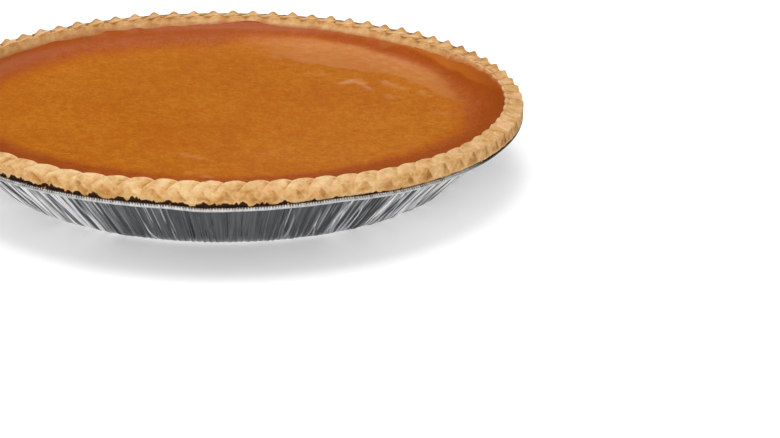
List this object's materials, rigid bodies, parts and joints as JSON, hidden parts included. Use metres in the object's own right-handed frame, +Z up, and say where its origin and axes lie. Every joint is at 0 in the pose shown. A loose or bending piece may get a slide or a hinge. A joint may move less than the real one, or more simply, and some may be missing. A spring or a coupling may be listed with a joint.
{
  "type": "pumpkin pie",
  "caption": "Whole pumpkin pie in its round foil tin: crimped pastry rim, smooth custard filling dished a little below the crust, pleated tin wall with a rolled bead.",
  "frame": {"origin": "centre of the tin's floor, on the surface the pie stands on", "axes": "+Z up out of the filling; X and Y lie in the floor, and the round pie has no front"},
  "size_m": [0.304, 0.304, 0.0427],
  "materials": {
    "foil": "thin pressed aluminium foil, wrinkled into fine radial pleats, with a bright rolled bead",
    "crust": "baked shortcrust pastry, matt, golden with paler lips and browner teeth",
    "filling": "baked pumpkin custard, smooth with a soft sheen, orange-brown with a darker ring near the crust"
  },
  "bodies": {
    "root": {"foil_tin": "foil", "crust": "crust", "filling": "filling"}
  },
  "joints": []
}
